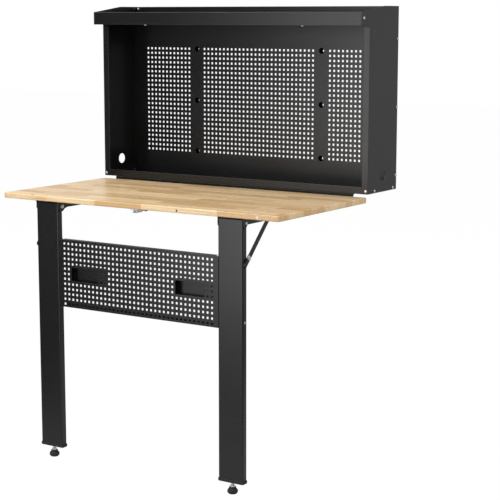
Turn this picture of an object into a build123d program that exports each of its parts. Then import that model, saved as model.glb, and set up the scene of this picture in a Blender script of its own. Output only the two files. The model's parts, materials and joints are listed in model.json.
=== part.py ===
from build123d import *
import os
from math import hypot, sqrt

# Wall mounted folding workbench. The origin is on the wall plane, at the middle of the wall fixings.
# X runs along the wall, -Y points into the room and +Z is up. Below, "depth" is the distance from
# the wall and "height" is measured from the underside of the cabinet.

# Steel sheet
sheet = 1.5
thin_sheet = 1.2

# Cabinet
half_width = 600
cabinet_bottom = -301
cabinet_height = 670
cabinet_depth = 220
hood_depth = 277
hood_bottom = 600
fascia_top = 648
slope_depth = 108
front_flange = 25
front_flange_top = 596
flange_lip = 12
flange_lip_bottom = 30
end_flange = 22
inner_half_width = half_width - sheet
rear_panel_depth = 20
tray_floor = hood_bottom + sheet
upstand_depth = 2 * sheet
fascia_return = 35
top_hem = 5
cable_hole_radius = 20
cable_hole_depth = 111
cable_hole_height = 60
rear_tab_rise = 30
rear_turn_up = 15
end_turn_up = 16
tray_end_turn_up = 18

# Perforation
pitch = 18.5
hole_size = 8
rows = 23
middle_columns = 28
outer_columns = 12
outer_field_x = 23 * pitch
fixing_x = 15.5 * pitch
fixing_spacing = 11 * pitch
fixing_height = -cabinet_bottom
access_radius = 11
fixing_radius = 4.5
rail_half_width = 31
rail_web_half_width = 20
rail_bottom = 20
rail_top_gap = 12

# Worktop
top_gap = 10
top_thickness = 20
top_rear_depth = 223.5
top_front_depth = 820
top_corner_radius = 9
top_arris = 4
underside = -top_gap - top_thickness
wood_screw_length = 14
wood_hole_end = underside + 14

# Piano hinge
hinge_depth = 220
hinge_height = -3.5
hinge_half_length = 542.5
barrel_radius = 3.5
hinge_pin_radius = 1.5
hinge_bore_radius = 1.55
hinge_leaf = 1.2
knuckle_count = 43
knuckle_gap = 0.3
cabinet_leaf_width = 30
worktop_leaf_width = 35
barrel_clearance = 3.6
leaf_top_drop = 3.1
hinge_screw_spacing = 176
hinge_screw_inset = 20

# Legs
leg_x = 400
leg_width = 100
leg_rear_depth = 783
leg_thickness = 25
leg_wall = 1.5
leg_top = -36
leg_end = -938
leg_corner = 4
leg_middle_depth = leg_rear_depth + leg_thickness / 2
pivot_depth = 791
pivot_height = -48
pivot_radius = 4
running_gap = 0.1
leg_side_gap = 0.4
leg_screw_radius = 3
leg_screw_hole_radius = 3.1
top_plug_length = 6

# Leg brackets, given for the right-hand side
bracket_steel = 2.5
inner_cheek_face = leg_x - leg_width / 2 - leg_side_gap
outer_cheek_face = leg_x + leg_width / 2 + leg_side_gap
bracket_inner = inner_cheek_face - bracket_steel
bracket_outer = 459.5
bracket_front_depth = 806
bracket_rear_depth = 430
inner_cheek_rear_depth = 680
outer_cheek_rear_depth = 675
cheek_height = -53
cheek_deep_height = -66
cheek_chamfer = 8
inner_cheek_knees = ((783, -66), (772, -57), (758, -53))
outer_cheek_knees = ((794, -66), (785, -57), (783, -53))
slot_rail_front_depth = 668
slot_rail_height = -52.5
pivot_head_radius = 6
pivot_head_height = 3
pivot_bolt_spare = 8
pivot_nut_radius = 7.5
pivot_nut_thickness = 6

# Braces, given for the right-hand side
brace_leg_depth = 798
brace_leg_height = -190
brace_top_height = -46
brace_top_depth = brace_leg_depth - (brace_top_height - brace_leg_height)
brace_half_width = 9
brace_inner = 451.6
brace_steel = 3
brace_pin_end = 456.6
brace_pin_radius = 4
brace_bolt_head_radius = 7.5
brace_bolt_head_height = 1.6
brace_shoulder_radius = 7
brace_side_gap = 0.3
collar_start = 25
collar_length = 14
collar_half_width = 10
collar_wall = 1
slot_half_width = 4.5
slot_spare = 2
brace_length = hypot(brace_leg_depth - brace_top_depth, brace_top_height - brace_leg_height)
folded_brace_depth = pivot_depth + brace_leg_height - pivot_height
folded_brace_height = pivot_height - brace_leg_depth + pivot_depth
folded_brace_rise = brace_top_height - folded_brace_height
slot_end_depth = folded_brace_depth - sqrt(brace_length**2 - folded_brace_rise**2)

# Lower perforated panel
lower_half_width = 350
lower_top = -165
lower_bottom = -413
lower_depth = 806.5
lower_flange_depth = 785
lower_columns = 36
lower_rows = 13
lower_first_row = -179.5
lower_lip = 15
lower_top_flange_half_width = 336
window_x = 12.5 * pitch
window_height = -290.5
window_size = (123, 49)
window_corner = 5
pocket_back_depth = 780
pocket_margin = 6
pocket_extra = 13
pocket_corner = 6
panel_screw_depth = 795
panel_screw_height = -386
panel_screw_head_radius = 4.5
panel_screw_head_height = 1.2

# Feet
cap_bottom = -950
cap_flare = 3
cap_plug = 26
cap_plug_gap = 0.3
cap_corner = 7
cap_bottom_round = 4
cap_top_round = 3
insert_radius = 7
insert_recess = 1
foot_stud_radius = 5
foot_stud_chamfer = 1
foot_stud_top = -910
floor = -990
foot_stud_end = -980
pad_lower_points = ((0, 0), (14, 0), (17.5, 4))
pad_side_point = (18.5, 9)
pad_upper_points = ((12.5, 19), (12, 24))
pad_socket = 9.9
pad_top = -966
foot_nut_radius = 9.8
foot_nut_thickness = 6

# Latch
latch_plate_half_width = 16
latch_plate_depths = (766, 814)
latch_plate_corner = 3
latch_steel = 1.5
latch_housing_half_width = 8
latch_housing_depths = (770, 808)
latch_housing_corner = 5
latch_housing_bottom = -45
latch_axis_height = -38.75
latch_rod_radius = 4
latch_rod_depths = (740, 818)
latch_knob_depths = (734, 750)
latch_knob_radius = 6.5
latch_knob_round = 2.5
latch_end_chamfer = 1
latch_screw_xs = (-12, 12)
latch_screw_depths = (772, 808)
latch_screw_head_radius = 3.6
latch_screw_head_height = 2

# Fasteners
screw_radius = 2.5
screw_head_radius = 4.6
screw_head_height = 2.5
screw_hole_radius = 2.6
cabinet_screw_length = 6
side_screw_head_radius = 5.6
side_screw_head_height = 3.3
corner_screw_head_radius = 5
tray_screw_length = 2.9
dome_screw_length = 8
dome_screw_head_radius = 5.5
dome_screw_head_height = 3
hinge_rivet_head_height = 1.6
bracket_screw_xs = (375, 425)
bracket_screw_depths = (745, 632, 510)


def at(depth, height):
    # Point in a plane that looks along X
    return (-depth, cabinet_bottom + height)


def block(x_range, depth_range, height_range, mode=Mode.ADD):
    # Square-edged piece between two values of x, of depth and of height
    size_x = x_range[1] - x_range[0]
    size_y = depth_range[1] - depth_range[0]
    size_z = height_range[1] - height_range[0]
    middle_x = (x_range[0] + x_range[1]) / 2
    middle_y = -(depth_range[0] + depth_range[1]) / 2
    middle_z = cabinet_bottom + (height_range[0] + height_range[1]) / 2
    with Locations((middle_x, middle_y, middle_z)):
        Box(size_x, size_y, size_z, mode=mode)


def rod_x(x_range, depth, height, radius, mode=Mode.ADD):
    # Round bar along X
    with BuildSketch(Plane.YZ.offset(x_range[0])) as section:
        with Locations(at(depth, height)):
            Circle(radius)
    extrude(section.sketch, amount=x_range[1] - x_range[0], mode=mode)


def rod_y(x, depth_range, height, radius, mode=Mode.ADD):
    # Round bar along Y
    with BuildSketch(Plane.XZ.offset(depth_range[0])) as section:
        with Locations((x, cabinet_bottom + height)):
            Circle(radius)
    extrude(section.sketch, amount=depth_range[1] - depth_range[0], mode=mode)


def rod_z(x, depth, height_range, radius, mode=Mode.ADD):
    # Round bar along Z
    with BuildSketch(Plane.XY.offset(cabinet_bottom + height_range[0])) as section:
        with Locations((x, -depth)):
            Circle(radius)
    extrude(section.sketch, amount=height_range[1] - height_range[0], mode=mode)


def pan_screw(plane, length, head_radius=screw_head_radius, head_height=screw_head_height,
              radius=screw_radius, recess=True):
    # Screw whose head stands on the plane and whose thread goes down from it
    with BuildSketch(plane) as head:
        Circle(head_radius)
    extrude(head.sketch, amount=head_height)
    fillet(faces().sort_by(Axis((0, 0, 0), plane.z_dir))[-1].edges(), head_height * 0.6)
    if recess:
        with BuildSketch(plane.offset(head_height)) as cross:
            Rectangle(head_radius * 1.1, head_radius * 0.28)
            Rectangle(head_radius * 0.28, head_radius * 1.1)
        extrude(cross.sketch, amount=-head_height * 0.5, mode=Mode.SUBTRACT)
    with BuildSketch(plane) as thread:
        Circle(radius)
    extrude(thread.sketch, amount=-length)


def screw_plane(x, depth, height, direction):
    return Plane(origin=(x, *at(depth, height)), z_dir=direction)


def rectangle_wire(x, z, width, height):
    # Outline of one opening in a perforated sheet
    half_x = width / 2
    half_z = height / 2
    corners = [
        (x - half_x, z - half_z),
        (x + half_x, z - half_z),
        (x + half_x, z + half_z),
        (x - half_x, z + half_z),
    ]
    return Wire.make_polygon(corners, close=True)


def save(piece, label):
    piece.label = label
    export_step(piece, f"parts/{label}.step")


def group_of(screws, label):
    save(Compound(children=screws), label)


def screw_group(places, label, length, **kind):
    # Several equal screws as separate solids of one node
    screws = []
    for x, depth, height, direction in places:
        with BuildPart() as screw:
            pan_screw(screw_plane(x, depth, height, direction), length, **kind)
        screws.append(screw.part.solid())
    group_of(screws, label)


os.makedirs("parts", exist_ok=True)

sides = {"left": -1, "right": 1}
side_rear_screw_depth = 7
side_rear_screw_heights = (552, 303, 52)
side_bottom_screw_depths = (170, 28)
side_bottom_screw_height = 8
fascia_screw = (264, 627)
corner_screw = (591.5, 11)
tray_rear_screw = (590, 661)


def side_screw_places():
    places = [(side_rear_screw_depth, height) for height in side_rear_screw_heights]
    places += [(depth, side_bottom_screw_height) for depth in side_bottom_screw_depths]
    places.append(fascia_screw)
    return places


# Side panels: one sheet each, with a front flange that is turned in and back again
for side_name, side in sides.items():
    with BuildPart() as side_panel:
        with BuildSketch(Plane.YZ.offset(side * inner_half_width)):
            with BuildLine():
                Polyline(
                    at(0, 0),
                    at(0, cabinet_height),
                    at(slope_depth, cabinet_height),
                    at(hood_depth, fascia_top),
                    at(hood_depth, hood_bottom),
                    at(cabinet_depth, hood_bottom),
                    at(cabinet_depth, 0),
                    close=True,
                )
            make_face()
            with Locations(at(cable_hole_depth, cable_hole_height)):
                Circle(cable_hole_radius, mode=Mode.SUBTRACT)
            with Locations(*[at(*place) for place in side_screw_places()]):
                Circle(screw_hole_radius, mode=Mode.SUBTRACT)
        extrude(amount=side * sheet)
        flange_x = sorted((side * (half_width - front_flange), side * inner_half_width))
        lip_x = sorted((side * (half_width - front_flange), side * (half_width - front_flange + sheet)))
        block(flange_x, (cabinet_depth - sheet, cabinet_depth), (0, front_flange_top))
        lip_depths = (cabinet_depth - flange_lip, cabinet_depth - sheet)
        block(lip_x, lip_depths, (flange_lip_bottom, front_flange_top))
        block(flange_x, (0, sheet), (tray_floor + rear_tab_rise, cabinet_height))
        corner_depths = (cabinet_depth - sheet, cabinet_depth)
        rod_y(side * corner_screw[0], corner_depths, corner_screw[1], screw_hole_radius, Mode.SUBTRACT)
        rod_y(side * tray_rear_screw[0], (0, sheet), tray_rear_screw[1], screw_hole_radius, Mode.SUBTRACT)
    save(side_panel.part, f"side_panel_{side_name}")

# Bottom panel: floor of the cabinet, with its edges turned up
with BuildPart() as bottom_panel:
    floor_x = (-inner_half_width, inner_half_width)
    front_depths = (cabinet_depth - 2 * sheet, cabinet_depth - sheet)
    block(floor_x, (0, cabinet_depth - sheet), (0, sheet))
    block(floor_x, front_depths, (0, front_flange))
    rear_x = (-inner_half_width + end_flange, inner_half_width - end_flange)
    block(rear_x, (0, sheet), (0, rear_turn_up))
    for side in sides.values():
        end_x = sorted((side * (inner_half_width - sheet), side * inner_half_width))
        block(end_x, (rear_panel_depth + 1, cabinet_depth - 2 * sheet), (sheet, end_turn_up))
        for depth in side_bottom_screw_depths:
            rod_x(end_x, depth, side_bottom_screw_height, screw_hole_radius, Mode.SUBTRACT)
        rod_y(side * corner_screw[0], front_depths, corner_screw[1], screw_hole_radius, Mode.SUBTRACT)
save(bottom_panel.part, "bottom_panel")

# Perforated rear panel: a shallow pan that stands off the wall
back_depths = (0, rear_panel_depth - thin_sheet)
with BuildPart() as rear_panel:
    for side in sides.values():
        end_x = sorted((side * (inner_half_width - thin_sheet), side * inner_half_width))
        block(end_x, back_depths, (sheet, tray_floor))
        for height in side_rear_screw_heights:
            rod_x(end_x, side_rear_screw_depth, height, screw_hole_radius, Mode.SUBTRACT)
    inner_x = (-inner_half_width + end_flange, inner_half_width - end_flange)
    block(inner_x, back_depths, (tray_floor - thin_sheet, tray_floor))
    fields = [(0, middle_columns), (-outer_field_x, outer_columns), (outer_field_x, outer_columns)]
    openings = []
    for field_x, columns in fields:
        for spot in GridLocations(pitch, pitch, columns, rows):
            hole_x = field_x + spot.position.X
            openings.append(rectangle_wire(hole_x, spot.position.Y, hole_size, hole_size))
    for spot in GridLocations(2 * fixing_x, fixing_spacing, 2, 3):
        openings.append(Wire.make_circle(access_radius, Plane(spot)))
    panel_z = cabinet_bottom + (sheet + tray_floor) / 2
    outline = rectangle_wire(0, panel_z, 2 * inner_half_width, tray_floor - sheet)
    with BuildSketch(Plane.XZ.offset(rear_panel_depth - thin_sheet)):
        add(Face(outline, openings))
    extrude(amount=thin_sheet, clean=False)
save(rear_panel.part, "perforated_rear_panel")

# Wall rails: hat sections welded behind the rear panel, which take the wall screws
for side_name, side in sides.items():
    with BuildPart() as wall_rail:
        rail_x = side * fixing_x
        rail_heights = (rail_bottom, tray_floor - rail_top_gap)
        web_x = (rail_x - rail_web_half_width, rail_x + rail_web_half_width)
        block(web_x, (0, sheet), rail_heights)
        for edge in (-1, 1):
            web_edge = rail_x + edge * rail_web_half_width
            wall_edge = rail_x + edge * (rail_web_half_width - sheet)
            foot_edge = rail_x + edge * rail_half_width
            block(sorted((web_edge, wall_edge)), back_depths, rail_heights)
            foot_depths = (back_depths[1] - sheet, back_depths[1])
            block(sorted((wall_edge, foot_edge)), foot_depths, rail_heights)
        for step in (-1, 0, 1):
            height = fixing_height + step * fixing_spacing
            rod_y(rail_x, (0, sheet), height, fixing_radius, Mode.SUBTRACT)
    save(wall_rail.part, f"wall_rail_{side_name}")

# Tray on top of the cabinet
latch_hole_depth = hinge_depth + hinge_height - latch_axis_height
latch_hole_radius = 6
fascia_dome_screw = (352, 269)
with BuildPart() as top_tray:
    tray_x = (-inner_half_width, inner_half_width)
    block(tray_x, (sheet, hood_depth - sheet), (tray_floor, tray_floor + sheet))
    block(tray_x, (sheet, upstand_depth), (tray_floor, cabinet_height))
    for side in sides.values():
        end_x = sorted((side * (inner_half_width - sheet), side * inner_half_width))
        end_depths = (upstand_depth, hood_depth - 3 * end_flange / 2)
        block(end_x, end_depths, (tray_floor, tray_floor + tray_end_turn_up))
        screw_x = side * tray_rear_screw[0]
        rod_y(screw_x, (sheet, upstand_depth), tray_rear_screw[1], screw_hole_radius, Mode.SUBTRACT)
        dome_x = side * fascia_dome_screw[0]
        tray_heights = (tray_floor, tray_floor + sheet)
        rod_z(dome_x, fascia_dome_screw[1], tray_heights, screw_hole_radius, Mode.SUBTRACT)
    rod_z(0, latch_hole_depth, (tray_floor, tray_floor + sheet), latch_hole_radius, Mode.SUBTRACT)
save(top_tray.part, "top_tray")

# Fascia: front of the tray, hemmed along its top and returned under the tray floor
with BuildPart() as fascia:
    front_depths = (hood_depth - sheet, hood_depth)
    block(tray_x, front_depths, (hood_bottom, fascia_top))
    block(tray_x, (hood_depth - fascia_return, hood_depth), (hood_bottom, tray_floor))
    block(tray_x, (hood_depth - top_hem, hood_depth), (fascia_top - sheet, fascia_top))
    for side in sides.values():
        end_x = sorted((side * (inner_half_width - sheet), side * inner_half_width))
        end_depths = (hood_depth - end_flange, hood_depth - sheet)
        block(end_x, end_depths, (tray_floor + sheet, fascia_top - sheet))
        rod_x(end_x, fascia_screw[0], fascia_screw[1], screw_hole_radius, Mode.SUBTRACT)
        dome_x = side * fascia_dome_screw[0]
        rod_z(dome_x, fascia_dome_screw[1], (hood_bottom, tray_floor), screw_hole_radius, Mode.SUBTRACT)
    rod_z(0, latch_hole_depth, (hood_bottom, tray_floor), latch_hole_radius, Mode.SUBTRACT)
save(fascia.part, "fascia")

# Cabinet screws
downward = (0, 0, -1)
toward_room = (0, -1, 0)
for side_name, side in sides.items():
    outward = (side, 0, 0)
    places = [(side * half_width, depth, height, outward) for depth, height in side_screw_places()]
    screw_group(places, f"side_screws_{side_name}", cabinet_screw_length,
                head_radius=side_screw_head_radius, head_height=side_screw_head_height)
corner_places = []
tray_places = []
dome_places = []
for side in sides.values():
    corner_places.append((side * corner_screw[0], cabinet_depth, corner_screw[1], toward_room))
    tray_places.append((side * tray_rear_screw[0], upstand_depth, tray_rear_screw[1], toward_room))
    dome_places.append((side * fascia_dome_screw[0], fascia_dome_screw[1], hood_bottom, downward))
screw_group(corner_places, "front_corner_screws", cabinet_screw_length,
            head_radius=corner_screw_head_radius)
screw_group(tray_places, "tray_rear_screws", tray_screw_length)
screw_group(dome_places, "fascia_dome_screws", dome_screw_length,
            head_radius=dome_screw_head_radius, head_height=dome_screw_head_height, recess=False)


# Piano hinge: knuckles of the two leaves take turns along the pin
knuckle_length = 2 * hinge_half_length / knuckle_count


def knuckle_starts(first):
    return [-hinge_half_length + number * knuckle_length for number in range(first, knuckle_count, 2)]


def knuckle_row(first):
    for start in knuckle_starts(first):
        span = (start + knuckle_gap / 2, start + knuckle_length - knuckle_gap / 2)
        rod_x(span, hinge_depth, hinge_height, barrel_radius)


hinge_x = (-hinge_half_length, hinge_half_length)
hinge_screw_xs = [hinge_screw_spacing * step for step in range(-3, 4)]
cabinet_leaf_front = hinge_depth - barrel_clearance
cabinet_leaf_depths = (cabinet_leaf_front - cabinet_leaf_width, cabinet_leaf_front)
rivet_depth = hinge_depth - hinge_screw_inset
with BuildPart() as cabinet_leaf:
    knuckle_row(0)
    for start in knuckle_starts(0):
        span = (start + knuckle_gap / 2, start + knuckle_length - knuckle_gap / 2)
        block(span, (cabinet_leaf_depths[1], hinge_depth), (-hinge_leaf, 0))
    rod_x(hinge_x, hinge_depth, hinge_height, hinge_bore_radius, Mode.SUBTRACT)
    block(hinge_x, cabinet_leaf_depths, (-hinge_leaf, 0))
    for x in hinge_screw_xs:
        rod_z(x, rivet_depth, (-hinge_leaf, 0), screw_hole_radius, Mode.SUBTRACT)
save(cabinet_leaf.part, "hinge_cabinet_leaf")

leaf_back = top_rear_depth - hinge_leaf
leaf_bottom = underside - hinge_leaf
leaf_top = hinge_height - leaf_top_drop
hinge_screw_depth = top_rear_depth + hinge_screw_inset
with BuildPart() as worktop_leaf:
    knuckle_row(1)
    for start in knuckle_starts(1):
        span = (start + knuckle_gap / 2, start + knuckle_length - knuckle_gap / 2)
        block(span, (leaf_back, top_rear_depth), (leaf_top, hinge_height))
    rod_x(hinge_x, hinge_depth, hinge_height, hinge_bore_radius, Mode.SUBTRACT)
    block(hinge_x, (leaf_back, top_rear_depth), (leaf_bottom, leaf_top))
    block(hinge_x, (leaf_back, top_rear_depth + worktop_leaf_width), (leaf_bottom, underside))
    for x in hinge_screw_xs:
        rod_z(x, hinge_screw_depth, (leaf_bottom, underside), screw_hole_radius, Mode.SUBTRACT)
save(worktop_leaf.part, "hinge_worktop_leaf")

with BuildPart() as hinge_pin:
    rod_x(hinge_x, hinge_depth, hinge_height, hinge_pin_radius)
save(hinge_pin.part, "hinge_pin")

rivet_places = [(x, rivet_depth, -hinge_leaf, downward) for x in hinge_screw_xs]
screw_group(rivet_places, "hinge_cabinet_rivets", hinge_leaf,
            head_height=hinge_rivet_head_height, recess=False)
hinge_screw_places = [(x, hinge_screw_depth, leaf_bottom, downward) for x in hinge_screw_xs]
screw_group(hinge_screw_places, "hinge_worktop_screws", wood_screw_length)

# Worktop
with BuildPart() as worktop:
    with BuildSketch(Plane.XY.offset(cabinet_bottom + underside)):
        with Locations((0, -(top_rear_depth + top_front_depth) / 2)):
            Rectangle(2 * half_width, top_front_depth - top_rear_depth)
        fillet(vertices(), top_corner_radius)
    extrude(amount=top_thickness)
    long_edges = faces().filter_by(Axis.Z).edges()
    fillet(long_edges, top_arris)
    hole_heights = (underside, wood_hole_end)
    for x in hinge_screw_xs:
        rod_z(x, hinge_screw_depth, hole_heights, screw_radius, Mode.SUBTRACT)
    for side in sides.values():
        for x in bracket_screw_xs:
            for depth in bracket_screw_depths:
                rod_z(side * x, depth, hole_heights, screw_radius, Mode.SUBTRACT)
    for x in latch_screw_xs:
        for depth in latch_screw_depths:
            rod_z(x, depth, hole_heights, screw_radius, Mode.SUBTRACT)
save(worktop.part, "worktop")


# Leg brackets: a plate under the worktop, with a cheek on each face of the leg and a slotted rail
# that guides the brace
def bracket_cheek(x_range, rear_depth, knees):
    with BuildSketch(Plane.YZ.offset(x_range[0])) as cheek:
        with BuildLine():
            Polyline(
                at(rear_depth, underside),
                at(bracket_front_depth, underside),
                at(bracket_front_depth, cheek_deep_height + cheek_chamfer),
                at(bracket_front_depth - cheek_chamfer, cheek_deep_height),
                *[at(*knee) for knee in knees],
                at(rear_depth, cheek_height),
                close=True,
            )
        make_face()
        with Locations(at(pivot_depth, pivot_height)):
            Circle(pivot_radius + running_gap / 2, mode=Mode.SUBTRACT)
    extrude(cheek.sketch, amount=x_range[1] - x_range[0])


def slotted_rail(x_range):
    block(x_range, (bracket_rear_depth, slot_rail_front_depth), (slot_rail_height, underside))
    slot_middle = (brace_top_depth + slot_end_depth) / 2
    slot_reach = brace_top_depth - slot_end_depth + 2 * slot_spare
    with BuildSketch(Plane.YZ.offset(x_range[0])) as slot:
        with Locations(at(slot_middle, brace_top_height)):
            SlotCenterToCenter(slot_reach, 2 * slot_half_width)
    extrude(slot.sketch, amount=x_range[1] - x_range[0], mode=Mode.SUBTRACT)


bracket_bottom = underside - bracket_steel
bolt_seat = outer_cheek_face + bracket_steel
for side_name, side in sides.items():
    with BuildPart() as leg_bracket:
        base_x = sorted((side * bracket_inner, side * bracket_outer))
        block(base_x, (bracket_rear_depth, bracket_front_depth), (bracket_bottom, underside))
        inner_x = sorted((side * bracket_inner, side * inner_cheek_face))
        bracket_cheek(inner_x, inner_cheek_rear_depth, inner_cheek_knees)
        outer_x = sorted((side * outer_cheek_face, side * bolt_seat))
        bracket_cheek(outer_x, outer_cheek_rear_depth, outer_cheek_knees)
        slotted_rail(sorted((side * (bracket_outer - bracket_steel), side * bracket_outer)))
        for x in bracket_screw_xs:
            for depth in bracket_screw_depths:
                rod_z(side * x, depth, (bracket_bottom, underside), screw_hole_radius, Mode.SUBTRACT)
    save(leg_bracket.part, f"leg_bracket_{side_name}")

    bracket_places = []
    for x in bracket_screw_xs:
        for depth in bracket_screw_depths:
            bracket_places.append((side * x, depth, bracket_bottom, downward))
    screw_group(bracket_places, f"bracket_screws_{side_name}", wood_screw_length)

    # Pivot bolt through both cheeks and the leg
    with BuildPart() as pivot_bolt:
        bolt_plane = screw_plane(side * bolt_seat, pivot_depth, pivot_height, (side, 0, 0))
        bolt_length = bolt_seat - bracket_inner + pivot_bolt_spare
        pan_screw(bolt_plane, bolt_length, head_radius=pivot_head_radius,
                  head_height=pivot_head_height, radius=pivot_radius, recess=False)
    save(pivot_bolt.part, f"leg_pivot_bolt_{side_name}")

pivot_nuts = []
for side in sides.values():
    with BuildPart() as pivot_nut:
        with BuildSketch(screw_plane(side * bracket_inner, pivot_depth, pivot_height, (-side, 0, 0))):
            RegularPolygon(pivot_nut_radius, 6)
            Circle(pivot_radius + running_gap / 2, mode=Mode.SUBTRACT)
        extrude(amount=pivot_nut_thickness)
    pivot_nuts.append(pivot_nut.part.solid())
group_of(pivot_nuts, "leg_pivot_nuts")

# Legs: rectangular tubes with plastic plugs, and levelling feet screwed into them
leg_screw_places = ((brace_leg_depth, brace_leg_height), (panel_screw_depth, panel_screw_height))
for side_name, side in sides.items():
    with BuildPart() as leg:
        with BuildSketch(Plane.XY.offset(cabinet_bottom + leg_end)):
            with Locations((side * leg_x, -leg_middle_depth)):
                RectangleRounded(leg_width, leg_thickness, leg_corner)
                inner_size = (leg_width - 2 * leg_wall, leg_thickness - 2 * leg_wall)
                RectangleRounded(*inner_size, leg_corner - leg_wall, mode=Mode.SUBTRACT)
        extrude(amount=leg_top - leg_end)
        leg_span = sorted((side * (leg_x - leg_width / 2), side * (leg_x + leg_width / 2)))
        rod_x(leg_span, pivot_depth, pivot_height, pivot_radius + running_gap, Mode.SUBTRACT)
        for depth, height in leg_screw_places:
            rod_x(leg_span, depth, height, leg_screw_hole_radius, Mode.SUBTRACT)
    save(leg.part, f"leg_{side_name}")

    with BuildPart() as leg_cap:
        with BuildSketch(Plane.XY.offset(cabinet_bottom + cap_bottom)):
            with Locations((side * leg_x, -leg_middle_depth)):
                cap_size = (leg_width + 2 * cap_flare, leg_thickness + 2 * cap_flare)
                RectangleRounded(*cap_size, cap_corner)
        extrude(amount=leg_end - cap_bottom)
        fillet(edges().group_by(Axis.Z)[0], cap_bottom_round)
        fillet(edges().group_by(Axis.Z)[-1], cap_top_round)
        with BuildSketch(Plane.XY.offset(cabinet_bottom + leg_end)):
            with Locations((side * leg_x, -leg_middle_depth)):
                plug_size = (inner_size[0] - 2 * cap_plug_gap, inner_size[1] - 2 * cap_plug_gap)
                RectangleRounded(*plug_size, leg_corner - leg_wall)
        extrude(amount=cap_plug)
        cap_heights = (cap_bottom, leg_end + cap_plug)
        rod_z(side * leg_x, leg_middle_depth, cap_heights, insert_radius, Mode.SUBTRACT)
    save(leg_cap.part, f"leg_cap_{side_name}")

    with BuildPart() as thread_insert:
        insert_heights = (cap_bottom + insert_recess, leg_end + cap_plug)
        rod_z(side * leg_x, leg_middle_depth, insert_heights, insert_radius)
        insert_bore = foot_stud_radius + running_gap / 2
        rod_z(side * leg_x, leg_middle_depth, cap_heights, insert_bore, Mode.SUBTRACT)
    save(thread_insert.part, f"foot_insert_{side_name}")

    with BuildPart() as foot_stud:
        stud_heights = (foot_stud_end, foot_stud_top)
        rod_z(side * leg_x, leg_middle_depth, stud_heights, foot_stud_radius)
        chamfer(edges().group_by(Axis.Z)[-1], foot_stud_chamfer)
    save(foot_stud.part, f"foot_stud_{side_name}")

    with BuildPart() as foot_nut:
        with BuildSketch(Plane.XY.offset(cabinet_bottom + pad_top)):
            with Locations((side * leg_x, -leg_middle_depth)):
                RegularPolygon(foot_nut_radius, 6)
                Circle(foot_stud_radius + running_gap / 2, mode=Mode.SUBTRACT)
        extrude(amount=foot_nut_thickness)
    save(foot_nut.part, f"foot_nut_{side_name}")

    with BuildPart() as foot_pad:
        foot_middle = (side * leg_x, *at(leg_middle_depth, floor))
        with BuildSketch(Plane(origin=foot_middle, x_dir=(1, 0, 0), z_dir=(0, -1, 0))):
            with BuildLine():
                stud_fit = foot_stud_radius + running_gap / 2
                pad_height = pad_upper_points[1][1]
                socket_top = (stud_fit, pad_height)
                socket_corner = (stud_fit, pad_socket)
                socket_middle = (0, pad_socket)
                Polyline(*pad_lower_points)
                ThreePointArc(pad_lower_points[2], pad_side_point, pad_upper_points[0])
                Polyline(*pad_upper_points, socket_top, socket_corner, socket_middle, (0, 0))
            make_face()
        revolve(axis=Axis(foot_middle, (0, 0, 1)))
    save(foot_pad.part, f"foot_pad_{side_name}")

plugs = []
for side in sides.values():
    with BuildPart() as top_plug:
        with BuildSketch(Plane.XY.offset(cabinet_bottom + leg_top)):
            with Locations((side * leg_x, -leg_middle_depth)):
                RectangleRounded(*plug_size, leg_corner - leg_wall)
        extrude(amount=-top_plug_length)
    plugs.append(top_plug.part.solid())
group_of(plugs, "leg_top_plugs")

# Lower perforated panel between the legs, with two handle windows and a pan behind each
panel_back = lower_depth - thin_sheet
with BuildPart() as lower_panel:
    flange_depths = (lower_flange_depth, panel_back)
    flange_x = (-lower_half_width, lower_half_width)
    top_x = (-lower_top_flange_half_width, lower_top_flange_half_width)
    block(top_x, flange_depths, (lower_top - thin_sheet, lower_top))
    block(flange_x, flange_depths, (lower_bottom, lower_bottom + thin_sheet))
    lip_depths = (lower_flange_depth, lower_flange_depth + thin_sheet)
    block(top_x, lip_depths, (lower_bottom, lower_bottom + lower_lip))
    for side in sides.values():
        end_x = sorted((side * (lower_half_width - thin_sheet), side * lower_half_width))
        block(end_x, flange_depths, (lower_bottom, lower_top))
        for depth, height in leg_screw_places:
            rod_x(end_x, depth, height, leg_screw_hole_radius, Mode.SUBTRACT)
    field_z = cabinet_bottom + lower_first_row - pitch * (lower_rows - 1) / 2
    window_z = cabinet_bottom + window_height
    openings = []
    for spot in GridLocations(pitch, pitch, lower_columns, lower_rows):
        from_window_x = abs(abs(spot.position.X) - window_x)
        from_window_z = abs(field_z + spot.position.Y - window_z)
        if from_window_x > window_size[0] / 2 or from_window_z > window_size[1] / 2:
            hole_z = field_z + spot.position.Y
            openings.append(rectangle_wire(spot.position.X, hole_z, hole_size, hole_size))
    for side in sides.values():
        openings.append(rectangle_wire(side * window_x, window_z, *window_size))
    panel_z = cabinet_bottom + (lower_top + lower_bottom) / 2
    outline = rectangle_wire(0, panel_z, 2 * lower_half_width, lower_top - lower_bottom)
    with BuildSketch(Plane.XZ.offset(panel_back)):
        add(Face(outline, openings))
    extrude(amount=thin_sheet, clean=False)
    window_corners = []
    for edge in edges().filter_by(Axis.Y):
        beside_x = abs(abs(abs(edge.center().X) - window_x) - window_size[0] / 2)
        beside_z = abs(abs(edge.center().Z - window_z) - window_size[1] / 2)
        if beside_x < 0.1 and beside_z < 0.1:
            window_corners.append(edge)
    fillet(window_corners, window_corner)
save(lower_panel.part, "lower_perforated_panel")

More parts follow.
